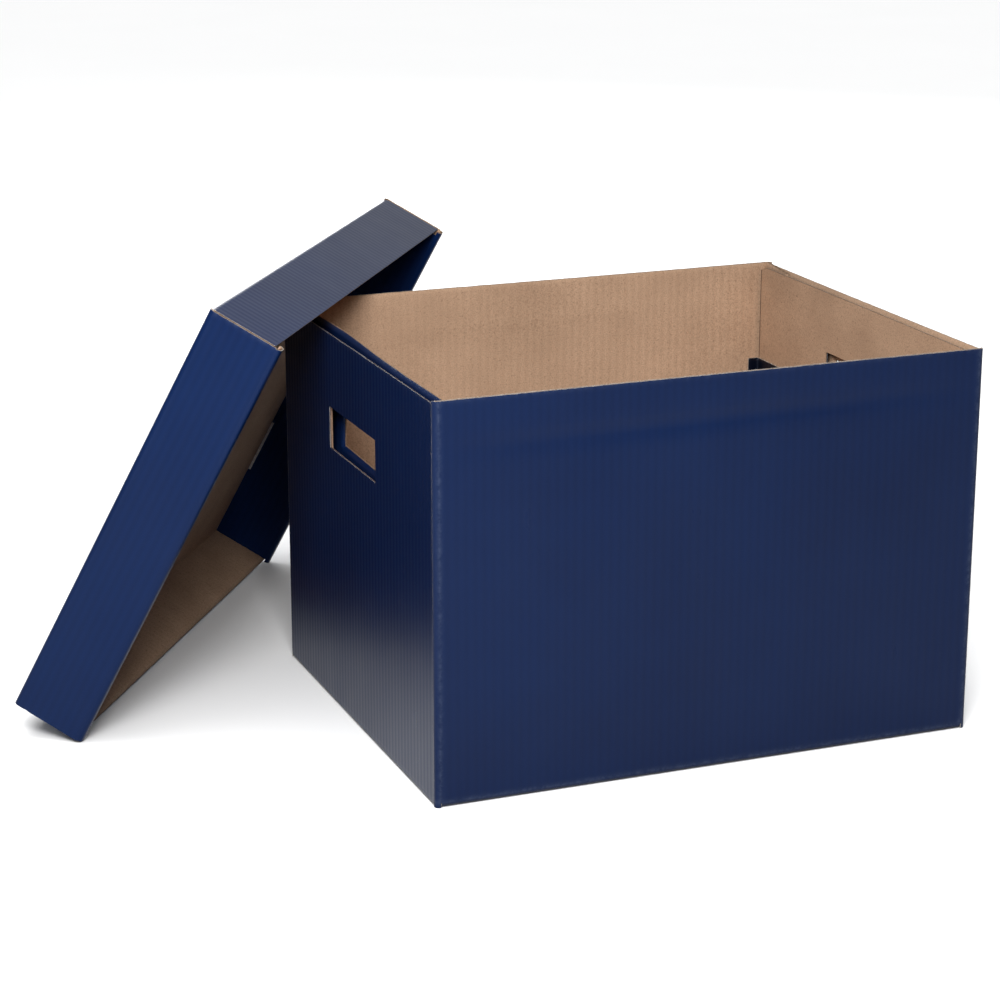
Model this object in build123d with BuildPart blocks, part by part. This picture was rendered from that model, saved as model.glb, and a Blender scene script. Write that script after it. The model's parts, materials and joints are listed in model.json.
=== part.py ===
from build123d import *
import math
import os

os.makedirs("parts", exist_ok=True)

# Archival box of folded corrugated board with its loose lid leaning on one corner.
# Frame: origin at the centre of the box's underside, +X along the front, +Y to the back, +Z up.

# Board
board = 3.0
fit_gap = 0.3

# Box body, outside sizes
box_length = 400.0
box_depth = 320.0
box_height = 276.0
end_drop = 1.5
fold_radius = 2.4

# Base layers
base_flap_top = 3.0
front_flap_reach = 200.0
end_flap_top = 6.1
end_flap_reach = 120.0
liner_bottom = 6.2
liner_top = 9.2

# Standing inner ends
inner_end_gap = 4.5
inner_end_side_gap = 2.5
inner_end_drop = 2.0
inner_end_foot = 6.5
inner_end_corner = 6.0

# Hand holes
hole_width = 98.0
hole_height = 30.0
hole_centre_height = 207.0
right_inner_hole_centre_height = 214.0
hole_offset = 4.0
hole_corner_radius = 2.0

# Glued side seam
seam_reach = 37.0
seam_level = 6.5
seam_slope = 20.0
seam_foot = 14.0

# Folded tab in the back right inside corner
tab_foot = 80.0
tab_top = 201.0
tab_back_reach = 10.0
tab_end_reach = 40.0

# Lid, outside sizes
lid_length = 427.2
lid_width = 328.0
rim_height = 55.0
side_rim_height = 50.0
ridge_thickness = 3.0
liner_gap = 3.6
ear_length = 60.0
ear_height = 46.0
tongue_width = 47.0
tongue_centre = 73.5
tongue_depth = 2.7

# Lid pose: standing on the floor, leaning on the back left corner of the box
lid_lean = math.radians(27.95)
lid_turn = math.radians(55.1)
lid_shift = 6.0
lean_gap = 0.4
floor_gap = 0.02

half_length = box_length / 2
half_depth = box_depth / 2
inner_length = half_length - board
inner_depth = half_depth - board
end_height = box_height - end_drop
inner_end_outside = inner_length - inner_end_gap
inner_end_inside = inner_end_outside - board
inner_end_half_width = inner_depth - inner_end_side_gap
inner_end_top = box_height - inner_end_drop

# ---------------------------------------------------------------- box walls

with BuildPart() as front_panel:
    with BuildSketch(Plane.XY):
        with Locations((0, -half_depth + board / 2)):
            Rectangle(box_length, board)
    extrude(amount=box_height)
    fillet(front_panel.edges().filter_by(Axis.Z).group_by(Axis.Y)[0], radius=fold_radius)

with BuildPart() as back_panel:
    with BuildSketch(Plane.XY):
        with Locations((0, half_depth - board / 2)):
            Rectangle(box_length, board)
    extrude(amount=box_height)
    fillet(back_panel.edges().filter_by(Axis.Z).group_by(Axis.Y)[-1], radius=fold_radius)

with BuildPart() as left_end_panel:
    with BuildSketch(Plane.YZ.offset(-half_length)):
        with Locations((0, end_height / 2)):
            Rectangle(2 * inner_depth, end_height)
        with Locations((hole_offset, hole_centre_height)):
            RectangleRounded(hole_width, hole_height, hole_corner_radius, mode=Mode.SUBTRACT)
    extrude(amount=board)

with BuildPart() as right_end_panel:
    with BuildSketch(Plane.YZ.offset(inner_length)):
        with Locations((0, end_height / 2)):
            Rectangle(2 * inner_depth, end_height)
        with Locations((-hole_offset, hole_centre_height)):
            RectangleRounded(hole_width, hole_height, hole_corner_radius, mode=Mode.SUBTRACT)
    extrude(amount=board)

# Seam flap folded off the back panel and glued inside the right end
seam_back = inner_depth
seam_front = inner_depth - seam_reach
with BuildPart() as glue_tab:
    with BuildSketch(Plane.YZ.offset(inner_length - board)):
        with BuildLine():
            Polyline(
                (seam_back, seam_foot),
                (seam_back, box_height),
                (seam_back - seam_level, box_height),
                (seam_back - seam_level - seam_slope, end_height),
                (seam_front, end_height),
                (seam_front, seam_foot + seam_slope),
                (seam_back, seam_foot),
            )
        make_face()
    extrude(amount=board)

# ---------------------------------------------------------------- base

with BuildPart() as front_base_flap:
    with BuildSketch(Plane.XY):
        with Locations((0, -inner_depth + front_flap_reach / 2)):
            Rectangle(2 * inner_length, front_flap_reach)
    extrude(amount=base_flap_top)

back_flap_reach = 2 * inner_depth - front_flap_reach - fit_gap
with BuildPart() as back_base_flap:
    with BuildSketch(Plane.XY):
        with Locations((0, inner_depth - back_flap_reach / 2)):
            Rectangle(2 * inner_length, back_flap_reach)
    extrude(amount=base_flap_top)

flap_middle = inner_length - end_flap_reach / 2
with BuildPart() as left_base_flap:
    with BuildSketch(Plane.XY.offset(base_flap_top)):
        with Locations((-flap_middle, 0)):
            Rectangle(end_flap_reach, 2 * inner_depth)
    extrude(amount=end_flap_top - base_flap_top)

with BuildPart() as right_base_flap:
    with BuildSketch(Plane.XY.offset(base_flap_top)):
        with Locations((flap_middle, 0)):
            Rectangle(end_flap_reach, 2 * inner_depth)
    extrude(amount=end_flap_top - base_flap_top)

with BuildPart() as base_liner:
    with BuildSketch(Plane.XY.offset(liner_bottom)):
        Rectangle(2 * (inner_end_inside - 0.5), 2 * (inner_depth - 0.5))
    extrude(amount=liner_top - liner_bottom)

# ---------------------------------------------------------------- standing inner ends

inner_end_middle = (inner_end_foot + inner_end_top) / 2
inner_end_tall = inner_end_top - inner_end_foot
with BuildPart() as left_inner_end:
    with BuildSketch(Plane.YZ.offset(-inner_end_outside)):
        with Locations((0, inner_end_middle)):
            Rectangle(2 * inner_end_half_width, inner_end_tall)
        with Locations((hole_offset, hole_centre_height)):
            RectangleRounded(hole_width, hole_height, hole_corner_radius, mode=Mode.SUBTRACT)
    extrude(amount=board)
    left_corners = left_inner_end.edges().filter_by(Axis.X).group_by(Axis.Z)[-1]
    chamfer(left_corners, length=inner_end_corner, length2=inner_end_corner / 2)

with BuildPart() as right_inner_end:
    with BuildSketch(Plane.YZ.offset(inner_end_inside)):
        with Locations((0, inner_end_middle)):
            Rectangle(2 * inner_end_half_width, inner_end_tall)
        with Locations((-hole_offset, right_inner_hole_centre_height)):
            RectangleRounded(hole_width, hole_height, hole_corner_radius, mode=Mode.SUBTRACT)
    extrude(amount=board)
    right_corners = right_inner_end.edges().filter_by(Axis.X).group_by(Axis.Z)[-1]
    chamfer(right_corners, length=inner_end_corner, length2=inner_end_corner / 2)

# Angle-shaped tab: one arm along the back wall, one along the right inner end
tab_outside = inner_end_inside
tab_back = inner_end_half_width
with BuildPart() as corner_tab:
    with BuildSketch(Plane.XY.offset(tab_foot)):
        with BuildLine():
            Polyline(
                (tab_outside, tab_back),
                (tab_outside - tab_back_reach, tab_back),
                (tab_outside - tab_back_reach, tab_back - board),
                (tab_outside - board, tab_back - board),
                (tab_outside - board, tab_back - tab_end_reach),
                (tab_outside, tab_back - tab_end_reach),
                (tab_outside, tab_back),
            )
        make_face()
    extrude(amount=tab_top - tab_foot)

# ---------------------------------------------------------------- lid pose

# The lid's own frame: x along its length, y up its width, z out of its open side.
lean_cos = math.cos(lid_lean)
lean_sin = math.sin(lid_lean)
turn_cos = math.cos(lid_turn)
turn_sin = math.sin(lid_turn)
lid_centre_height = lid_width / 2 * lean_cos + rim_height * lean_sin + floor_gap
corner_rise = box_height - lid_centre_height
lid_stand_off = (board + lean_gap + corner_rise * lean_sin) / lean_cos
lid_centre_x = -half_length - turn_sin * lid_stand_off + turn_cos * lid_shift
lid_centre_y = half_depth + turn_cos * lid_stand_off + turn_sin * lid_shift
lid_plane = Plane(
    origin=(lid_centre_x, lid_centre_y, lid_centre_height),
    x_dir=(turn_cos, turn_sin, 0),
    z_dir=(turn_sin * lean_cos, -turn_cos * lean_cos, -lean_sin),
)
lid_opening_axis = Axis(lid_plane.origin, lid_plane.z_dir)

half_lid = lid_length / 2
half_width = lid_width / 2
rim_inside = half_lid - board
liner_outside = rim_inside - liner_gap
liner_inside = liner_outside - board
wall_top = rim_height - ridge_thickness
side_inside = half_width - board

# ---------------------------------------------------------------- lid panels

slot_spots = [
    (side * (liner_outside - board / 2), place * tongue_centre) for side in (-1, 1) for place in (-1, 1)
]
with BuildPart() as lid_top:
    with BuildSketch(lid_plane):
        Rectangle(lid_length, lid_width)
        with Locations(*slot_spots):
            Rectangle(board + 0.6, tongue_width + 0.6, mode=Mode.SUBTRACT)
    extrude(amount=board)

with BuildPart() as lid_upper_rim:
    with BuildSketch(lid_plane.offset(board)):
        with Locations((0, half_width - board / 2)):
            Rectangle(2 * rim_inside, board)
    extrude(amount=side_rim_height - board)

with BuildPart() as lid_lower_rim:
    with BuildSketch(lid_plane.offset(board)):
        with Locations((0, -half_width + board / 2)):
            Rectangle(2 * rim_inside, board)
    extrude(amount=side_rim_height - board)

with BuildPart() as lid_near_rim:
    with BuildSketch(lid_plane.offset(board)):
        with Locations((-half_lid + board / 2, 0)):
            Rectangle(board, lid_width)
    extrude(amount=wall_top - board)

with BuildPart() as lid_far_rim:
    with BuildSketch(lid_plane.offset(board)):
        with Locations((half_lid - board / 2, 0)):
            Rectangle(board, lid_width)
    extrude(amount=wall_top - board)

# Ridges: the narrow strips between the two creases of each rolled-over rim
ridge_width = half_lid - liner_inside
with BuildPart() as lid_near_ridge:
    with BuildSketch(lid_plane.offset(wall_top)):
        with Locations((-half_lid + ridge_width / 2, 0)):
            Rectangle(ridge_width, lid_width)
    extrude(amount=ridge_thickness)
    near_top = lid_near_ridge.faces().sort_by(lid_opening_axis)[-1]
    near_long = near_top.edges().sort_by(SortBy.LENGTH)[-2:]
    fillet(near_long, radius=fold_radius)

with BuildPart() as lid_far_ridge:
    with BuildSketch(lid_plane.offset(wall_top)):
        with Locations((half_lid - ridge_width / 2, 0)):
            Rectangle(ridge_width, lid_width)
    extrude(amount=ridge_thickness)
    far_top = lid_far_ridge.faces().sort_by(lid_opening_axis)[-1]
    far_long = far_top.edges().sort_by(SortBy.LENGTH)[-2:]
    fillet(far_long, radius=fold_radius)

# Liners: the inner layers of the rolled-over rims, with tongues locked in the top
liner_foot = board + 0.1
liner_half_width = side_inside - fit_gap
with BuildPart() as lid_near_liner:
    with BuildSketch(lid_plane.offset(liner_foot)):
        with Locations((-liner_outside + board / 2, 0)):
            Rectangle(board, 2 * liner_half_width)
    extrude(amount=wall_top - liner_foot)
    with BuildSketch(lid_plane.offset(liner_foot)):
        with Locations(*slot_spots[:2]):
            Rectangle(board, tongue_width)
    extrude(amount=-tongue_depth)

with BuildPart() as lid_far_liner:
    with BuildSketch(lid_plane.offset(liner_foot)):
        with Locations((liner_outside - board / 2, 0)):
            Rectangle(board, 2 * liner_half_width)
    extrude(amount=wall_top - liner_foot)
    with BuildSketch(lid_plane.offset(liner_foot)):
        with Locations(*slot_spots[2:]):
            Rectangle(board, tongue_width)
    extrude(amount=-tongue_depth)

# Ears: folded off the side rims and tucked between rim and liner
ear_x = rim_inside - liner_gap / 2
ear_y = side_inside - ear_length / 2
ear_spots = {
    "lid_near_upper_ear": (-ear_x, ear_y),
    "lid_near_lower_ear": (-ear_x, -ear_y),
    "lid_far_upper_ear": (ear_x, ear_y),
    "lid_far_lower_ear": (ear_x, -ear_y),
}
ears = {}
for ear_name, ear_spot in ear_spots.items():
    with BuildPart() as ear:
        with BuildSketch(lid_plane.offset(board + 0.5)):
            with Locations(ear_spot):
                Rectangle(board, ear_length)
        extrude(amount=ear_height)
    ears[ear_name] = ear.part

# ---------------------------------------------------------------- output

nodes = {
    "front_panel": front_panel.part,
    "back_panel": back_panel.part,
    "left_end_panel": left_end_panel.part,
    "right_end_panel": right_end_panel.part,
    "glue_tab": glue_tab.part,
    "front_base_flap": front_base_flap.part,
    "back_base_flap": back_base_flap.part,
    "left_base_flap": left_base_flap.part,
    "right_base_flap": right_base_flap.part,
    "base_liner": base_liner.part,
    "left_inner_end": left_inner_end.part,
    "right_inner_end": right_inner_end.part,
    "corner_tab": corner_tab.part,
    "lid_top": lid_top.part,
    "lid_upper_rim": lid_upper_rim.part,
    "lid_lower_rim": lid_lower_rim.part,
    "lid_near_rim": lid_near_rim.part,
    "lid_far_rim": lid_far_rim.part,
    "lid_near_ridge": lid_near_ridge.part,
    "lid_far_ridge": lid_far_ridge.part,
    "lid_near_liner": lid_near_liner.part,
    "lid_far_liner": lid_far_liner.part,
}
nodes.update(ears)

for node_name, shape in nodes.items():
    shape.label = node_name
    export_step(shape, "parts/" + node_name + ".step")
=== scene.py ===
import json
import math

import bmesh
import bpy
from mathutils import Matrix, Vector, noise


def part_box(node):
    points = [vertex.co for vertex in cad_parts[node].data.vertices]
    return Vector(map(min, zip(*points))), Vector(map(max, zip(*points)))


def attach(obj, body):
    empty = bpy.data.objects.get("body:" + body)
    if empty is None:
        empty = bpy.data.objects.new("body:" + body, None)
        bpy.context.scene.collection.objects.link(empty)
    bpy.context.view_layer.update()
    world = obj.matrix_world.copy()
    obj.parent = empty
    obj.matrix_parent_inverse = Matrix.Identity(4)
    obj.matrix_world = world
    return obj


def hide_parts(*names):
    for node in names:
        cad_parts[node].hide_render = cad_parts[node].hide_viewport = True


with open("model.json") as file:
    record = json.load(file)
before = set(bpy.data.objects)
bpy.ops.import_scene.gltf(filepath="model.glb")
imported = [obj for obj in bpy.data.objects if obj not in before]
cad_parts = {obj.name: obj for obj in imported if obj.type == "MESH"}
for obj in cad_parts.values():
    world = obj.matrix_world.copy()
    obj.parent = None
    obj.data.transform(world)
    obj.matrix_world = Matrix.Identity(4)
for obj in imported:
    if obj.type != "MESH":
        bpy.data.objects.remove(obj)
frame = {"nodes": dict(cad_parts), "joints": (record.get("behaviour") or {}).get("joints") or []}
nodes = frame["nodes"]
bpy.context.view_layer.update()
print("frame loaded,", len(nodes), "nodes")

# corrugated board, in metres: two liners with a waved sheet between them
board = {
    "thick": 0.003,
    "liner": 0.00045,
    "wave": 0.00030,
    "pitch": 0.00635,
    "columns": 8,  # grid columns for each flute
    "fold": 0.0036,  # outside radius of a crease
    "foldCuts": 6,
    "step": 0.024,  # rows that let a panel bow
    "wearReach": 0.0045,
    "nick": 0.0003,
    "crushReach": 0.0022,
}


# small helpers for the materials
def newMaterial(name):
    mat = bpy.data.materials.new(name)
    mat.use_nodes = True
    tree = mat.node_tree
    shader = tree.nodes["Principled BSDF"]
    return mat, tree, shader


def addNode(tree, kind, **values):
    node = tree.nodes.new(kind)
    for key, value in values.items():
        if hasattr(node, key):
            setattr(node, key, value)
        else:
            node.inputs[key.replace("_", " ")].default_value = value
    return node


def noiseNode(tree, coords, scale, detail=4.0, rough=0.55, stretch=(1, 1, 1)):
    place = addNode(tree, "ShaderNodeMapping")
    place.inputs["Scale"].default_value = stretch
    tree.links.new(coords, place.inputs["Vector"])
    node = addNode(tree, "ShaderNodeTexNoise", Scale=scale, Detail=detail, Roughness=rough)
    tree.links.new(place.outputs["Vector"], node.inputs["Vector"])
    return node.outputs["Fac"]


def fluteNode(tree, uv):
    # one band for each flute: the wave texture repeats every 0.31416 / scale
    bands = addNode(tree, "ShaderNodeTexWave", wave_type="BANDS", bands_direction="X", wave_profile="SIN")
    bands.inputs["Scale"].default_value = 0.314159 / board["pitch"]
    bands.inputs["Distortion"].default_value = 0.0
    tree.links.new(uv, bands.inputs["Vector"])
    return bands.outputs["Fac"]


def rangeNode(tree, value, low, high, fromLow=0.0, fromHigh=1.0):
    node = addNode(tree, "ShaderNodeMapRange")
    node.inputs["From Min"].default_value = fromLow
    node.inputs["From Max"].default_value = fromHigh
    node.inputs["To Min"].default_value = low
    node.inputs["To Max"].default_value = high
    tree.links.new(value, node.inputs["Value"])
    return node.outputs["Result"]


def mathNode(tree, operation, a, b):
    node = addNode(tree, "ShaderNodeMath", operation=operation)
    for socket, value in zip(node.inputs, (a, b)):
        if isinstance(value, (int, float)):
            socket.default_value = value
        else:
            tree.links.new(value, socket)
    return node.outputs["Value"]


def mixColour(tree, factor, a, b):
    node = addNode(tree, "ShaderNodeMix", data_type="RGBA")
    tree.links.new(factor, node.inputs[0])
    for socket, value in ((node.inputs[6], a), (node.inputs[7], b)):
        if isinstance(value, tuple):
            socket.default_value = value
        else:
            tree.links.new(value, socket)
    return node.outputs[2]


def bumpNode(tree, height, distance, under=None, strength=1.0):
    node = addNode(tree, "ShaderNodeBump", Distance=distance, Strength=strength)
    tree.links.new(height, node.inputs["Height"])
    if under is not None:
        tree.links.new(under, node.inputs["Normal"])
    return node.outputs["Normal"]


def rgba(r, g, b):
    return (r, g, b, 1.0)


# coated blue print on the outside of the board
printLook = {
    "navy": rgba(0.0045, 0.0165, 0.070),
    "navyDeep": rgba(0.0036, 0.0130, 0.057),
    "lidBlue": rgba(0.0046, 0.0205, 0.090),
    "lidDeep": rgba(0.0036, 0.0160, 0.073),
    # painted shade: the tab navy is the print darkened nearly to black, standing in for the shadow on the
    # corner tab
    "tabShadedNavy": rgba(0.0022, 0.0042, 0.0120),
    "tabShadedDeep": rgba(0.0016, 0.0030, 0.0085),
    "rubbed": rgba(0.16, 0.20, 0.30),
    "gloss": 0.12,
    "boxFlutes": (0.09, 0.00007),  # ink on the crests, height of the ripple
    "lidFlutes": (0.09, 0.00006),
    "grainHeight": 0.000012,
}


def makePrint(name, light, deep, crestInk, fluteHeight):
    mat, tree, shader = newMaterial(name)
    coords = addNode(tree, "ShaderNodeTexCoord")
    spot = coords.outputs["Object"]
    flutes = fluteNode(tree, coords.outputs["UV"])
    cloud = noiseNode(tree, spot, 9.0, 3.0)
    grain = noiseNode(tree, spot, 900.0, 3.0, 0.7)
    colour = mixColour(tree, rangeNode(tree, cloud, 0.0, 1.0, 0.3, 0.7), deep, light)
    # the ink lies a little thinner over each flute's crest
    crest = mathNode(tree, "MULTIPLY", flutes, crestInk)
    colour = mixColour(tree, crest, colour, rgba(*[min(1.0, c * 1.9) for c in light[:3]]))
    # folds and cut edges rub down to pale fibres
    wearAndShade = addNode(tree, "ShaderNodeAttribute", attribute_name="wearAndShade").outputs["Fac"]
    scuff = noiseNode(tree, spot, 260.0, 5.0, 0.75)
    patchy = rangeNode(tree, scuff, 0.15, 1.0, 0.40, 0.66)
    rubbed = mathNode(tree, "MULTIPLY", mathNode(tree, "POWER", wearAndShade, 2.5), patchy)
    colour = mixColour(tree, rubbed, colour, printLook["rubbed"])
    tree.links.new(colour, shader.inputs["Base Color"])
    smear = noiseNode(tree, spot, 34.0, 4.0, 0.6, (1, 1, 0.35))
    rough = mathNode(tree, "ADD", rangeNode(tree, smear, 0.24, 0.36), mathNode(tree, "MULTIPLY", rubbed, 0.5))
    tree.links.new(rough, shader.inputs["Roughness"])
    shader.inputs["Specular IOR Level"].default_value = printLook["gloss"]
    low = bumpNode(tree, flutes, fluteHeight)
    tree.links.new(bumpNode(tree, grain, printLook["grainHeight"], low), shader.inputs["Normal"])
    return mat


# bare kraft liner
kraftLook = {
    "light": rgba(0.66, 0.435, 0.290),
    "dark": rgba(0.49, 0.315, 0.206),
    "fleck": rgba(0.25, 0.155, 0.095),
    # painted shade: a near-black for kraft, used only where the wear mask is strongest
    "gapShade": rgba(0.055, 0.036, 0.024),
    "stripes": 2400,  # how much a flute darkens the paper, for its height
    "wallFlutes": 0.00012,
    "innerFlutes": 0.00003,
    "fibreHeight": 0.00004,
}


def makeKraft(name, fluteHeight):
    mat, tree, shader = newMaterial(name)
    coords = addNode(tree, "ShaderNodeTexCoord")
    spot, uv = coords.outputs["Object"], coords.outputs["UV"]
    flutes = fluteNode(tree, uv)
    cloud = noiseNode(tree, spot, 14.0, 4.0)
    fibres = noiseNode(tree, uv, 420.0, 6.0, 0.7, (1.0, 0.22, 1.0))
    specks = noiseNode(tree, spot, 620.0, 2.0, 0.5)
    patchy = rangeNode(tree, cloud, 0.0, 1.0, 0.32, 0.68)
    colour = mixColour(tree, patchy, kraftLook["dark"], kraftLook["light"])
    colour = mixColour(tree, rangeNode(tree, fibres, 0.0, 0.30, 0.45, 0.75), colour, kraftLook["dark"])
    stripes = mathNode(tree, "MULTIPLY", flutes, fluteHeight * kraftLook["stripes"])
    colour = mixColour(tree, stripes, colour, kraftLook["dark"])
    pulp = noiseNode(tree, spot, 1100.0, 2.0, 0.6)
    colour = mixColour(tree, rangeNode(tree, pulp, 0.0, 0.42, 0.40, 0.66), colour, kraftLook["fleck"])
    colour = mixColour(tree, rangeNode(tree, specks, 0.0, 0.55, 0.58, 0.72), colour, kraftLook["fleck"])
    # painted shade: where the wear mask runs above 0.62 the kraft turns nearly black; only the right inner
    # end's back edge reaches that, standing in for the shadowed gap at the back corner
    wearAndShade = addNode(tree, "ShaderNodeAttribute", attribute_name="wearAndShade").outputs["Fac"]
    colour = mixColour(tree, rangeNode(tree, wearAndShade, 0.0, 0.9, 0.62, 0.9), colour, kraftLook["gapShade"])
    tree.links.new(colour, shader.inputs["Base Color"])
    tree.links.new(rangeNode(tree, fibres, 0.78, 0.92), shader.inputs["Roughness"])
    shader.inputs["Specular IOR Level"].default_value = 0.25
    low = bumpNode(tree, flutes, fluteHeight)
    tree.links.new(bumpNode(tree, fibres, kraftLook["fibreHeight"], low), shader.inputs["Normal"])
    return mat


# cut edges and the waved sheet inside
rawLook = {
    "light": rgba(0.90, 0.88, 0.85),
    "dark": rgba(0.58, 0.54, 0.48),
    "kraftLight": rgba(0.44, 0.295, 0.195),
    "kraftDark": rgba(0.24, 0.155, 0.098),
}


def makeRaw(name, light, dark):
    mat, tree, shader = newMaterial(name)
    spot = addNode(tree, "ShaderNodeTexCoord").outputs["Object"]
    fray = noiseNode(tree, spot, 700.0, 5.0, 0.7)
    broad = noiseNode(tree, spot, 60.0, 3.0)
    colour = mixColour(tree, rangeNode(tree, fray, 0.0, 1.0, 0.35, 0.65), dark, light)
    colour = mixColour(tree, rangeNode(tree, broad, 0.0, 0.5, 0.45, 0.7), colour, dark)
    tree.links.new(colour, shader.inputs["Base Color"])
    tree.links.new(rangeNode(tree, fray, 0.85, 0.97), shader.inputs["Roughness"])
    shader.inputs["Specular IOR Level"].default_value = 0.15
    tree.links.new(bumpNode(tree, fray, 0.00008), shader.inputs["Normal"])
    return mat


boxPrint = makePrint("boxPrint", printLook["navy"], printLook["navyDeep"], *printLook["boxFlutes"])
lidPrint = makePrint("lidPrint", printLook["lidBlue"], printLook["lidDeep"], *printLook["lidFlutes"])
# painted shade: a near-black copy of the navy print, standing in for the shadow on the corner tab
shadedTabPrint = makePrint("shadedTabPrint", printLook["tabShadedNavy"], printLook["tabShadedDeep"], *printLook["boxFlutes"])
kraft = makeKraft("wallKraft", kraftLook["wallFlutes"])
innerKraft = makeKraft("innerKraft", kraftLook["innerFlutes"])
whiteEdge = makeRaw("whiteEdge", rawLook["light"], rawLook["dark"])
kraftEdge = makeRaw("kraftEdge", rawLook["kraftLight"], rawLook["kraftDark"])
waveSheet = makeRaw("waveSheet", rawLook["kraftLight"], rawLook["kraftDark"])
print("finishes made")


# u runs across the flutes, v along them, and the depth goes in from the outer face
def spread(low, high, step):
    count = max(1, round((high - low) / step))
    return [low + (high - low) * i / count for i in range(1, count)]


def cutLine(bm, spot, way, faces=None):
    if faces is None:
        faces = bm.faces[:]
    edges = dict.fromkeys(e for f in faces for e in f.edges)  # keeps their order, unlike a set
    verts = dict.fromkeys(v for f in faces for v in f.verts)
    geom = [*verts, *edges, *faces]
    bmesh.ops.bisect_plane(bm, geom=geom, dist=1e-7, plane_co=spot, plane_no=way)


def inside(face, areas):
    spot = face.calc_center_median()
    return any(a < spot.x < c and b < spot.y < d for a, b, c, d in areas)


def flatSheet(look, columns):
    # a flat sheet, cut along rows and columns, with its holes, slots and corners taken out
    (lowU, lowV), (highU, highV) = look["low"], look["high"]
    bm = bmesh.new()
    count = max(1, round((highU - lowU) / columns))
    bmesh.ops.create_grid(bm, x_segments=count, y_segments=1, size=0.5)
    bmesh.ops.scale(bm, vec=(highU - lowU, highV - lowV, 1), verts=bm.verts[:])
    bmesh.ops.translate(bm, vec=((lowU + highU) / 2, (lowV + highV) / 2, 0), verts=bm.verts[:])
    cuts = [set(), set(spread(lowV, highV, board["step"]))]
    for axis, place, way, _ in look.get("creases", ()):
        quarter = board["fold"] * math.pi / 2
        cuts[axis] |= {place + way * quarter * i / board["foldCuts"] for i in range(board["foldCuts"] + 1)}
        cuts[axis].add(place - way * board["wearReach"])
    for axis, place, _ in look.get("worn", ()):
        cuts[axis] |= {place - board["wearReach"], place + board["wearReach"]}
    for a, b, c, d in look.get("gone", ()):
        cuts[0] |= {a, c}
        cuts[1] |= {b, d}
    for axis, places in look.get("cuts", ()):
        cuts[axis] |= set(places)
    for a, b, c, d in look.get("bare", ()):
        cuts[0] |= {a, c}
        cuts[1] |= {b, d}
    reach = board["crushReach"]
    for a, b, c, d in look.get("holes", ()):
        cuts[0] |= {a, c} | {p + reach * k for p in (a, c) for k in (-1, -0.4, 0.4, 1)}
        cuts[1] |= {b, d} | {p + reach * k for p in (b, d) for k in (-1, -0.4, 0.4, 1)}
    for axis, end in look.get("nicks", ()):
        place = (look["low"], look["high"])[end][axis]
        cuts[axis] |= {place + (1 - 2 * end) * reach * k for k in (0.4, 1)}
    for axis in (0, 1):
        way = Vector((1, 0, 0)) if axis == 0 else Vector((0, 1, 0))
        for place in sorted(cuts[axis]):
            if (lowU, lowV)[axis] + 1e-6 < place < (highU, highV)[axis] - 1e-6:
                cutLine(bm, way * place, way)
    lost = [f for f in bm.faces if inside(f, (*look.get("gone", ()), *look.get("holes", ())))]
    bmesh.ops.delete(bm, geom=lost, context="FACES")
    for u, v, alongU, alongV in look.get("corners", ()):
        # a slanting cut across the corner at u, v
        spot = Vector((u + alongU, v, 0))
        way = Vector((alongV, alongU, 0)).normalized()
        if way.dot(Vector((u, v, 0)) - spot) < 0:
            way.negate()
        reach = 1.2 * math.hypot(alongU, alongV) + 0.002
        near = [f for f in bm.faces if any(math.hypot(p.co.x - u, p.co.y - v) < reach for p in f.verts)]
        near = near or bm.faces[:]
        cutLine(bm, spot, way, bm.faces[:] if look.get("longCorners") else near)
        lost = [f for f in bm.faces if way.dot(f.calc_center_median() - spot) > 1e-7]
        bmesh.ops.delete(bm, geom=lost, context="FACES")
    return bm


def nick(bm, look, seed):
    # cut edges are never quite straight
    ends = (look["low"], look["high"])
    for axis, end in look.get("nicks", ()):
        place = ends[end][axis]
        inward = 1 if end == 0 else -1
        for v in bm.verts:
            if abs(v.co[axis] - place) < 1e-6:
                along = v.co[1 - axis]
                rough = noise.noise(Vector((along * 60, seed, axis))) * 0.5
                rough += noise.noise(Vector((along * 260, seed + 5, axis)))
                v.co[axis] += inward * abs(rough) * board["nick"]


def thicken(bm, depth, outer, inner, edge):
    # gives the sheet its thickness, with a finish for each side and for the cut edges
    grown = bmesh.ops.extrude_face_region(bm, geom=bm.faces[:], use_keep_orig=True)
    top = [v for v in grown["geom"] if isinstance(v, bmesh.types.BMVert)]
    topFaces = {f for f in grown["geom"] if isinstance(f, bmesh.types.BMFace)}
    bmesh.ops.translate(bm, vec=(0, 0, depth), verts=top)
    topSet = set(top)
    for f in bm.faces:
        inTop = sum(v in topSet for v in f.verts)
        f.material_index = inner if f in topFaces else outer if inTop == 0 else edge


def markFlat(bm, look):
    # keeps the flat place as the UV map, and how worn each point is; on kraft the strongest part of this mask
    # carries painted shade
    uv = bm.loops.layers.uv.new("board")
    wearAndShade = bm.verts.layers.float.new("wearAndShade")
    lines = [(axis, place, look.get("creaseWear", 0.6)) for axis, place, way, _ in look.get("creases", ())]
    lines += list(look.get("worn", ()))
    for v in bm.verts:
        for axis, place, much in lines:
            far = abs(v.co[axis] - place) / board["wearReach"]
            v[wearAndShade] = max(v[wearAndShade], much * max(0.0, 1 - far))
        for l in v.link_loops:
            l[uv].uv = v.co.x, v.co.y


def bend(bm, look):
    # turns what lies past each crease through a right angle
    radius = board["fold"]
    quarter = radius * math.pi / 2
    for axis, place, way, zone in look.get("creases", ()):
        for v in bm.verts:
            past = (v.co[axis] - place) * way
            if past <= 1e-7 or (zone and not zone[0] - 1e-6 < v.co[1 - axis] < zone[1] + 1e-6):
                continue
            arm = radius - v.co.z
            turn = min(past, quarter) / radius
            v.co[axis] = place + way * arm * math.sin(turn)
            v.co.z = radius - arm * math.cos(turn) + max(0.0, past - quarter)


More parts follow.
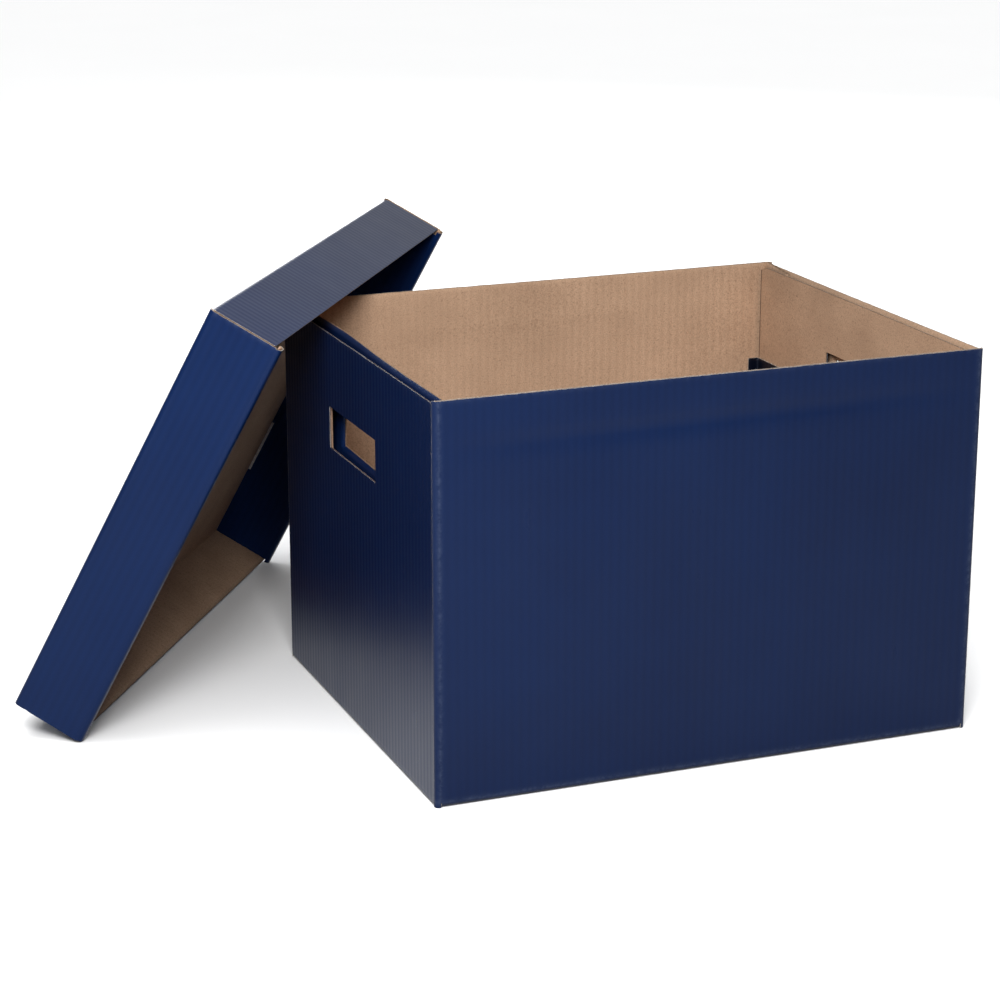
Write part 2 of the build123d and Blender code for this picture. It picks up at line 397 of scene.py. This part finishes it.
def crushEdges(bm, look):
    # the cutting knife squeezes the board flat along its cut edges
    reach, left = board["crushReach"], look.get("crushLeft", 0.6)
    side = look.get("crushSide", 0.0) * board["thick"]
    ends = (look["low"], look["high"])
    for v in bm.verts:
        far = reach
        for axis, end in look.get("nicks", ()):
            far = min(far, abs(v.co[axis] - ends[end][axis]))
        for a, b, c, d in look.get("holes", ()):
            far = min(far, math.hypot(max(a - v.co.x, 0, v.co.x - c), max(b - v.co.y, 0, v.co.y - d)))
        share = left + (1 - left) * math.sin(far / reach * math.pi / 2)
        v.co.z = side + (v.co.z - side) * share


def layer(look, columns, lift, depth, slots, seed, waved=False):
    bm = flatSheet(look, columns)
    nick(bm, look, seed)
    if waved:
        swing = board["thick"] / 2 - board["liner"] - depth / 2
        for v in bm.verts:
            v.co.z = board["thick"] / 2 - depth / 2 + swing * math.sin(2 * math.pi * v.co.x / board["pitch"])
    else:
        bmesh.ops.translate(bm, vec=(0, 0, lift), verts=bm.verts[:])
    thicken(bm, depth, *slots)
    for f in bm.faces:
        if f.material_index == 0 and inside(f, look.get("bare", ())):
            f.material_index = 2  # painted light: white paper in place of print, standing in for light through the tongue slot
    markFlat(bm, look)
    return bm


def makeBoard(name, look, place, finishes):
    # finishes: outer side, inner side
    thick, liner, wave = board["thick"], board["liner"], board["wave"]
    seed = sum(map(ord, name)) % 97
    whole = bmesh.new()
    for bm in (
        layer(look, board["pitch"] / 2, 0, liner, (0, 4, 2), seed),
        layer(look, board["pitch"] / board["columns"], 0, wave, (4, 4, 3), seed, True),
        layer(look, board["pitch"] / 2, thick - liner, liner, (4, 1, 3), seed),
    ):
        passing = bpy.data.meshes.new("passing")
        bm.to_mesh(passing)
        bm.free()
        whole.from_mesh(passing)
        bpy.data.meshes.remove(passing)
    crushEdges(whole, look)
    if "shape" in look:  # the panel's own bow
        for v in whole.verts:
            v.co.z += look["shape"](v.co.x, v.co.y)
    bend(whole, look)
    bmesh.ops.transform(whole, matrix=place, verts=whole.verts[:])
    bmesh.ops.recalc_face_normals(whole, faces=whole.faces[:])
    mesh = bpy.data.meshes.new(name)
    whole.to_mesh(mesh)
    whole.free()
    # a printed liner is white paper, so its cut edge shows white
    edges = look.get("edges")
    if not edges:
        edges = [kraftEdge if finish in (kraft, innerKraft) else whiteEdge for finish in finishes]
    for mat in (*finishes, *edges, waveSheet):
        mesh.materials.append(mat)
    mesh.shade_smooth()
    mesh.set_sharp_from_angle(angle=math.radians(35))
    piece = bpy.data.objects.new(name, mesh)
    bpy.context.collection.objects.link(piece)
    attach(piece, look["body"])
    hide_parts(look["node"])
    return piece


def frameAt(origin, across, along, inward):
    # the place of a board: its own u, v and depth directions
    return Matrix.Translation(origin) @ Matrix((across, along, inward)).transposed().to_4x4()


right, back, up = Vector((1, 0, 0)), Vector((0, 1, 0)), Vector((0, 0, 1))
fold = board["fold"]
quarter = fold * math.pi / 2


def smoothBump(x, middle, width):
    return math.exp(-(((x - middle) / width) ** 2))


boxLow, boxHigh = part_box("front_panel")[0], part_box("back_panel")[1]
boxTop, endTop = boxHigh.z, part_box("left_end_panel")[1].z
sideU = boxHigh.x - fold  # where the corner folds begin
sideV = boxHigh.y - fold

longWall = {
    "body": "box",
    "slot": "navy_board",
    "low": (-sideU - quarter, -quarter + fold),
    "high": (sideU + quarter, boxTop),
    "creases": [
        (0, sideU, 1, None),
        (0, -sideU, -1, None),
        (1, fold, -1, (-sideU + 0.0005, sideU - 0.0005)),
    ],
    "gone": [
        (-sideU, -1, -sideU + 0.0006, fold),
        (sideU - 0.0006, -1, sideU, fold),
        (-1, -1, -sideU, 0.0003),
        (sideU, -1, 1, 0.0003),
    ],
    "worn": [(1, boxTop, 0.5)],
    "nicks": [(1, 1)],
    "cuts": [(1, [0.225, 0.232, 0.238, 0.242, 0.2455, 0.249, 0.253, 0.259, 0.266])],
    "crushLeft": 0.8,
    "crushDepth": 0.0011,
    "crushHeight": 0.246,
    "crushWidth": 0.006,
    "frontBow": 0.0006,
    "rearBow": 0.0010,
    "rearCrush": 0.0004,
    "waviness": 0.0003,
}


def wallShape(bowIn, crushDeep, phase):
    # the wall's slow bow, and the soft band crushed across it below the rim
    def shape(u, v):
        flat = max(0.0, 1 - (u / sideU) ** 2) * min(1.0, max(0.0, (v - 0.01) / 0.05))
        bow = bowIn * flat * (v / boxTop) ** 2
        bow += longWall["waviness"] * flat * noise.noise(Vector((u * 14, v * 14, phase)))
        height = longWall["crushHeight"] + 0.002 * math.sin(u * 9)  # the band isn't quite level
        return bow + crushDeep * smoothBump(v, height, longWall["crushWidth"]) * flat

    return shape


front = dict(longWall, node="front_panel", edges=(whiteEdge, whiteEdge))
front["shape"] = wallShape(longWall["frontBow"], longWall["crushDepth"], 1.0)
makeBoard("frontWall", front, frameAt((0, boxLow.y, 0), right, up, back), (boxPrint, kraft))
rear = dict(longWall, node="back_panel")
rear["shape"] = wallShape(longWall["rearBow"], longWall["rearCrush"], 7.0)
makeBoard("backWall", rear, frameAt((0, boxHigh.y, 0), right, up, -back), (boxPrint, kraft))

# hand holes: y from, z from, y to, z to
handHoles = {
    "left": (-0.045, 0.192, 0.053, 0.222),
    "right": (-0.053, 0.192, 0.045, 0.222),
    "rightInner": (-0.053, 0.199, 0.045, 0.229),
}

endWall = {
    "body": "box",
    "slot": "navy_board",
    "low": (-sideV + 0.0001, -quarter + fold),
    "high": (sideV - 0.0001, endTop),
    "creases": [(1, fold, -1, None)],
    "worn": [(1, endTop, 0.5), (0, -sideV, 0.35), (0, sideV, 0.35)],
    "nicks": [(1, 1)],
    "crushLeft": 0.3,
    "bow": 0.0006,
    "waviness": 0.0003,
}


def endShape(phase):
    def shape(u, v):
        flat = max(0.0, 1 - (u / sideV) ** 2) * min(1.0, max(0.0, (v - 0.01) / 0.05))
        wavy = endWall["waviness"] * noise.noise(Vector((u * 16, v * 16, phase)))
        return flat * (endWall["bow"] * (v / endTop) ** 2 + wavy)

    return shape


# painted shade: the left end's waved sheet and inner liner show the navy print on their cut edges in place of
# kraft, so the top edge and the hand hole's rim read dark as if shaded
leftEnd = dict(endWall, node="left_end_panel", edges=(whiteEdge, boxPrint), shape=endShape(3.0))
leftEnd["holes"] = [handHoles["left"]]
makeBoard("leftEnd", leftEnd, frameAt((boxLow.x, 0, 0), back, up, right), (boxPrint, kraft))
rightEnd = dict(endWall, node="right_end_panel", shape=endShape(5.0))
rightEnd["holes"] = [handHoles["right"]]
makeBoard("rightEnd", rightEnd, frameAt((boxHigh.x, 0, 0), back, up, -right), (boxPrint, kraft))

tabLow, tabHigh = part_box("glue_tab")
glueTab = {
    "node": "glue_tab",
    "body": "box",
    "slot": "kraft_board",
    "low": (tabLow.y, tabLow.z),
    "high": (tabHigh.y, tabHigh.z),
    "gone": [(tabLow.y, tabHigh.z - 0.0015, tabLow.y + 0.0105, tabHigh.z)],
    "corners": [(tabLow.y, tabLow.z, 0.037, 0.020), (tabLow.y + 0.0105, tabHigh.z, 0.020, -0.0015)],
    "longCorners": True,
    "nicks": [(1, 1), (0, 0)],
}
makeBoard("glueTab", glueTab, frameAt((tabHigh.x, 0, 0), back, up, -right), (kraft, kraft))
print("walls made")

baseFlap = {"body": "box", "slot": "navy_board", "nicks": [(1, 1)], "gap": 0.0005}


def makeBaseFlap(name, node, low, high, place):
    flap = dict(baseFlap, node=node, low=low, high=high)
    return makeBoard(name, flap, place, (boxPrint, kraft))


flapU = sideU - baseFlap["gap"]
frontFlap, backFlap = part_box("front_base_flap"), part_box("back_base_flap")
lower = frameAt((0, 0, 0), right, back, up)
makeBaseFlap("frontBaseFlap", "front_base_flap", (-flapU, -sideV), (flapU, frontFlap[1].y), lower)
makeBaseFlap("backBaseFlap", "back_base_flap", (-flapU, backFlap[0].y), (flapU, sideV), lower)
upper = frameAt((0, 0, frontFlap[1].z + 0.00005), back, right, up)
for name, node in (("leftBaseFlap", "left_base_flap"), ("rightBaseFlap", "right_base_flap")):
    low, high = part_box(node)
    makeBaseFlap(name, node, (low.y, low.x), (high.y, high.x), upper)

floorLow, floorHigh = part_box("base_liner")
baseLiner = {
    "node": "base_liner",
    "body": "box",
    "slot": "kraft_board",
    "low": (floorLow.y, floorLow.x),
    "high": (floorHigh.y, floorHigh.x),
    "nicks": [(0, 0), (0, 1), (1, 0), (1, 1)],
    "shape": lambda u, v: 0.0004 * noise.noise(Vector((u * 9, v * 9, 2.0))),
}
makeBoard("baseLiner", baseLiner, frameAt((0, 0, floorLow.z), back, right, up), (kraft, kraft))
print("base made")

innerEnd = {
    "slot": "navy_board",
    "nicks": [(0, 1)],
    "worn": [(0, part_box("left_inner_end")[1].z, 0.5)],
    "chamfer": (0.006, 0.003),
    "leftBow": (0.0035, 0.06, 0.07),  # how far in, where along, how wide
    "rightBow": (-0.0007, 0.0, 0.11),
    "crushSide": 1.0,
    "crushLeft": 0.3,
}


def makeInnerEnd(name, node, body, outerX, inward, hole, bow, **more):
    low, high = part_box(node)
    y0, z0, y1, z1 = handHoles[hole]
    along, down = innerEnd["chamfer"]
    look = dict(innerEnd, node=node, body=body, low=(low.z, low.y), high=(high.z, high.y))
    look["holes"] = [(z0, y0, z1, y1)]
    look["corners"] = [(high.z, low.y, -down, along), (high.z, high.y, -down, -along)]
    look.update(more)
    deep, middle, width = innerEnd[bow]

    def shape(u, v):
        ends = min(1.0, (high.y - abs(v)) / 0.02)
        return deep * smoothBump(v, middle, width) * (u / high.z) ** 2 * ends

    look["shape"] = shape
    return makeBoard(name, look, frameAt((outerX, 0, 0), up, back, inward), (boxPrint, innerKraft))


leftX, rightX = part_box("left_inner_end")[0].x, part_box("right_inner_end")[1].x
# painted shade: the 1.0 line on the right inner end's back edge darkens its kraft face there, standing in for
# the shadowed gap at the back corner; the top edge line is real wear
wearAndGapShade = [*innerEnd["worn"], (1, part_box("right_inner_end")[1].y, 1.0)]
# painted shade: the left inner end's printed liner takes the navy print on its cut edges in place of white
# paper, so its top edge and hole rim read dark as the shaded gap beside them
shadedLeftEdges = (boxPrint, kraftEdge)
makeInnerEnd("leftInnerEnd", "left_inner_end", "left_inner", leftX, right, "left", "leftBow", edges=shadedLeftEdges)
makeInnerEnd(
    "rightInnerEnd", "right_inner_end", "right_inner", rightX, -right, "rightInner", "rightBow", worn=wearAndGapShade
)

cornerLow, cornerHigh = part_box("corner_tab")
armLength = cornerHigh.x - cornerLow.x - fold
cornerTab = {
    "node": "corner_tab",
    "body": "right_inner",
    "slot": "navy_board",
    "low": (cornerLow.y, cornerLow.z),
    "high": (cornerHigh.y - fold + quarter + armLength, cornerHigh.z),
    "creases": [(0, cornerHigh.y - fold, 1, None)],
    "nicks": [(1, 1), (0, 0), (0, 1)],
}
# the corner tab's inner face takes the painted-shade copy of the print
makeBoard("cornerTab", cornerTab, frameAt((cornerHigh.x, 0, 0), back, up, -right), (kraft, shadedTabPrint))
print("inner ends made")

# the lid has its own leaning frame
lift = next(j for j in frame["joints"] if j["name"] == "lid_lift")
opening = -Vector(lift["axis"]).normalized()
farWay = Vector((-opening.y, opening.x, 0)).normalized()
lidUp = opening.cross(farWay)
lidWays = Matrix((farWay, lidUp, opening))


def lidBox(node):
    # a lid node's lowest and highest corners along the lid's own axes
    spots = [lidWays @ v.co for v in nodes[node].data.vertices]
    low = Vector([min(s[i] for s in spots) for i in range(3)])
    high = Vector([max(s[i] for s in spots) for i in range(3)])
    return low, high


topLow, topHigh = lidBox("lid_top")
lidMiddle = Vector(((topLow.x + topHigh.x) / 2, (topLow.y + topHigh.y) / 2, topLow.z))
halfX, halfY = (topHigh.x - topLow.x) / 2, (topHigh.y - topLow.y) / 2
ridgeTop = lidBox("lid_near_ridge")[1].z - lidMiddle.z
rimTop = lidBox("lid_upper_rim")[1].z - lidMiddle.z


def lidAt(x, y, z, across, along, inward):
    turned = lidWays.transposed()
    return frameAt(turned @ (lidMiddle + Vector((x, y, z))), turned @ across, turned @ along, turned @ inward)


slotX, slotY = 0.2055, 0.0735
tongueSlot = {"half": (0.0018, 0.0238), "tongue": 0.0235}


def tongueSlots():
    wide, long = tongueSlot["half"]
    return [(x - wide, y - long, x + wide, y + long) for x in (-slotX, slotX) for y in (-slotY, slotY)]


lidTop = {
    "node": "lid_top",
    "body": "lid",
    "slot": "lid_board",
    "low": (-halfX + fold - quarter, -halfY + fold - quarter),
    "high": (halfX - fold + quarter, halfY - fold + quarter),
    "creases": [
        (0, halfX - fold, 1, (-halfY, halfY)),
        (0, -halfX + fold, -1, (-halfY, halfY)),
        (1, halfY - fold, 1, (-halfX + fold + 0.0006, halfX - fold - 0.0006)),
        (1, -halfY + fold, -1, (-halfX + fold + 0.0006, halfX - fold - 0.0006)),
    ],
    "creaseWear": 0.2,
    "gone": tongueSlots(),
}
slit = 0.0007
for x in (-1, 1):
    inner, outer = halfX - fold - slit, halfX - fold
    for y in (-1, 1):
        start, end = halfY - fold - 0.0001, 1.0
        spanU = sorted((x * inner, x * outer))
        spanV = sorted((y * start, y * end))
        lidTop["gone"].append((spanU[0], spanV[0], spanU[1], spanV[1]))
        spanU = sorted((x * outer, x * 1.0))
        spanV = sorted((y * halfY, y * end))
        lidTop["gone"].append((spanU[0], spanV[0], spanU[1], spanV[1]))
lidTop["shape"] = lambda u, v: 0.0012 * max(0.0, 1 - (u / 0.2) ** 2) * max(0.0, 1 - (v / 0.15) ** 2)
makeBoard("lidTop", lidTop, lidAt(0, 0, 0, right, back, up), (lidPrint, kraft))

rim = {
    "body": "lid",
    "slot": "lid_board",
    "wallTop": ridgeTop - fold,
}


def makeRim(name, node, x, inward):
    look = dict(rim, node=node, low=(fold, -halfY), high=(rim["wallTop"], halfY))
    look["nicks"] = [(1, 0), (1, 1)]
    look["worn"] = [(0, fold, 0.2), (0, rim["wallTop"], 0.15), (1, -halfY, 0.3), (1, halfY, 0.6)]
    return makeBoard(name, look, lidAt(x, 0, 0, up, back, inward), (lidPrint, kraft))


makeRim("lidNearRim", "lid_near_rim", -halfX, right)
makeRim("lidFarRim", "lid_far_rim", halfX, -right)

ridge = {"body": "lid", "slot": "lid_board", "creaseWear": 0.15, "inset": 0.0006, "width": 0.0096}


def makeRidge(name, node, x):
    flatPart = ridge["width"] - 2 * fold
    look = dict(ridge, node=node)
    look["low"] = (-flatPart / 2 - quarter, -halfY + ridge["inset"])
    look["high"] = (flatPart / 2 + quarter, halfY - ridge["inset"])
    look["creases"] = [(0, flatPart / 2, 1, None), (0, -flatPart / 2, -1, None)]
    look["nicks"] = [(1, 0), (1, 1)]
    return makeBoard(name, look, lidAt(x, 0, ridgeTop, right, back, -up), (lidPrint, kraft))


makeRidge("lidNearRidge", "lid_near_ridge", -halfX + ridge["width"] / 2)
makeRidge("lidFarRidge", "lid_far_ridge", halfX - ridge["width"] / 2)

liner = {"body": "lid", "slot": "lid_board", "foot": 0.0031, "tip": 0.0004, "halfLong": 0.1607}


def makeLiner(name, node, x, inward):
    look = dict(liner, node=node)
    look["low"] = (liner["tip"], -liner["halfLong"])
    look["high"] = (rim["wallTop"], liner["halfLong"])
    half = tongueSlot["tongue"]
    edges = [-1, -slotY - half, -slotY + half, slotY - half, slotY + half, 1]
    look["gone"] = [(0, edges[i], liner["foot"], edges[i + 1]) for i in (0, 2, 4)]
    look["nicks"] = [(0, 0), (1, 0), (1, 1)]
    look["worn"] = [(0, rim["wallTop"], 0.2)]
    # painted light: a 2 mm strip of white paper along the foot at each tongue's root, standing in for light
    # shining through the tongue slot
    look["bare"] = [(liner["foot"], y - half, liner["foot"] + 0.0020, y + half) for y in (-slotY, slotY)]
    return makeBoard(name, look, lidAt(x, 0, 0, up, back, inward), (lidPrint, kraft))


makeLiner("lidNearLiner", "lid_near_liner", -halfX + ridge["width"], -right)
makeLiner("lidFarLiner", "lid_far_liner", halfX - ridge["width"], right)

shortRim = {"body": "lid", "slot": "lid_board", "gap": 0.0030, "crushLeft": 0.25}


def makeShortRim(name, node, y, inward):
    look = dict(shortRim, node=node)
    halfU = halfX - shortRim["gap"]
    look["low"], look["high"] = (-halfU, fold), (halfU, rimTop)
    look["nicks"] = [(1, 1), (0, 0), (0, 1)]
    look["worn"] = [(1, fold, 0.2), (1, rimTop, 0.5)]
    return makeBoard(name, look, lidAt(0, y, 0, right, up, inward), (lidPrint, kraft))


makeShortRim("lidUpperRim", "lid_upper_rim", halfY, -back)
makeShortRim("lidLowerRim", "lid_lower_rim", -halfY, back)

ear = {"body": "lid", "slot": "lid_board"}


def makeEar(name, node, outward):
    low, high = lidBox(node)
    low, high = low - lidMiddle, high - lidMiddle
    look = dict(ear, node=node, low=(low.y, low.z), high=(high.y, high.z))
    x = high.x if outward > 0 else low.x
    return makeBoard(name, look, lidAt(x, 0, 0, back, up, -outward * right), (lidPrint, kraft))


for name, node, outward in (
    ("lidNearUpperEar", "lid_near_upper_ear", -1),
    ("lidNearLowerEar", "lid_near_lower_ear", -1),
    ("lidFarUpperEar", "lid_far_upper_ear", 1),
    ("lidFarLowerEar", "lid_far_lower_ear", 1),
):
    makeEar(name, node, outward)
print("lid made")

studio = {
    "world": (0.94, 0.97, 1.0),
    "worldStrength": 0.105,
    "wallWhite": 1.0,
    "floor": 0.93,
    "floorBounce": 0.08,
    "sun": {"turn": -30.0, "height": 45.0, "spread": 22.0, "strength": 0.25},
    "floorSun": {"turn": 0.0, "height": 86.0, "spread": 50.0, "strength": 2.8},
    "softbox": {"at": (-0.58, -0.95, 0.95), "aim": (-0.15, 0.0, 0.2), "size": 0.5, "power": 19.5},
    "backCard": {"at": (1.6, 2.3, 1.25), "aim": (-0.2, 0.1, 0.25), "size": 1.7, "power": 6.8},
    "rearFill": {"at": (0.15, 2.2, 0.5), "aim": (-0.2, 0.1, 0.2), "size": 0.9, "power": 12},
}

floorMat, floorTree, floorShader = newMaterial("paleFloor")
floorSpot = addNode(floorTree, "ShaderNodeTexCoord").outputs["Object"]
floorCloud = noiseNode(floorTree, floorSpot, 3.0, 2.0)
pale = studio["floor"]
floorColour = mixColour(floorTree, floorCloud, rgba(pale, pale, pale), rgba(*[pale + 0.02] * 3))
# the floor throws back less light than it shows, as a floor behind flags does
floorBounce = addNode(floorTree, "ShaderNodeLightPath").outputs["Is Diffuse Ray"]
floorColour = mixColour(floorTree, floorBounce, floorColour, rgba(*[studio["floorBounce"]] * 3))
floorTree.links.new(floorColour, floorShader.inputs["Base Color"])
floorShader.inputs["Roughness"].default_value = 0.9
floorShader.inputs["Specular IOR Level"].default_value = 0.1
floorMesh = bpy.data.meshes.new("studioFloor")
bm = bmesh.new()
bmesh.ops.create_grid(bm, x_segments=1, y_segments=1, size=14)
bmesh.ops.translate(bm, vec=(0, 0, -0.0002), verts=bm.verts[:])
bm.to_mesh(floorMesh)
bm.free()
floorMesh.materials.append(floorMat)
studioFloor = bpy.data.objects.new("studioFloor", floorMesh)
bpy.context.collection.objects.link(studioFloor)

world = bpy.data.worlds.new("studio")
world.use_nodes = True
world.node_tree.nodes["Background"].inputs["Color"].default_value = rgba(*studio["world"])
# the wall behind shows white, and gives only a little light
seen = addNode(world.node_tree, "ShaderNodeLightPath").outputs["Is Camera Ray"]
glow = rangeNode(world.node_tree, seen, studio["worldStrength"], studio["wallWhite"])
world.node_tree.links.new(glow, world.node_tree.nodes["Background"].inputs["Strength"])
bpy.context.scene.world = world
bpy.context.scene.view_settings.view_transform = "Standard"


def sunLight(name, look):
    data = bpy.data.lights.new(name, "SUN")
    data.energy, data.angle = look["strength"], math.radians(look["spread"])
    lamp = bpy.data.objects.new(name, data)
    lamp.rotation_euler = (math.radians(90 - look["height"]), 0, math.radians(look["turn"]))
    bpy.context.collection.objects.link(lamp)
    return lamp


sunLight("softSun", studio["sun"])
floorSun = sunLight("floorSun", studio["floorSun"])
onlyFloor = bpy.data.collections.new("onlyFloor")
onlyFloor.objects.link(studioFloor)
floorSun.light_linking.receiver_collection = onlyFloor


def softLight(name, look):
    data = bpy.data.lights.new(name, "AREA")
    data.shape, data.size, data.energy = "SQUARE", look["size"], look["power"]
    box = bpy.data.objects.new(name, data)
    box.location = look["at"]
    box.rotation_euler = (Vector(look["aim"]) - Vector(look["at"])).to_track_quat("-Z", "Y").to_euler()
    box.visible_camera = False
    bpy.context.collection.objects.link(box)


for name in ("softbox", "backCard", "rearFill"):
    softLight(name, studio[name])

eye = {"at": (-0.7586, -1.69144, 0.69519), "turn": 21.52, "dip": 16.52, "lens": 96.41}
cameraData = bpy.data.cameras.new("eye")
cameraData.lens, cameraData.sensor_width = eye["lens"], 36
camera = bpy.data.objects.new("eye", cameraData)
camera.location = eye["at"]
camera.rotation_euler = (math.radians(90 - eye["dip"]), 0, math.radians(-eye["turn"]))
bpy.context.collection.objects.link(camera)
bpy.context.scene.camera = camera

bpy.context.view_layer.update()
print("scene ready")
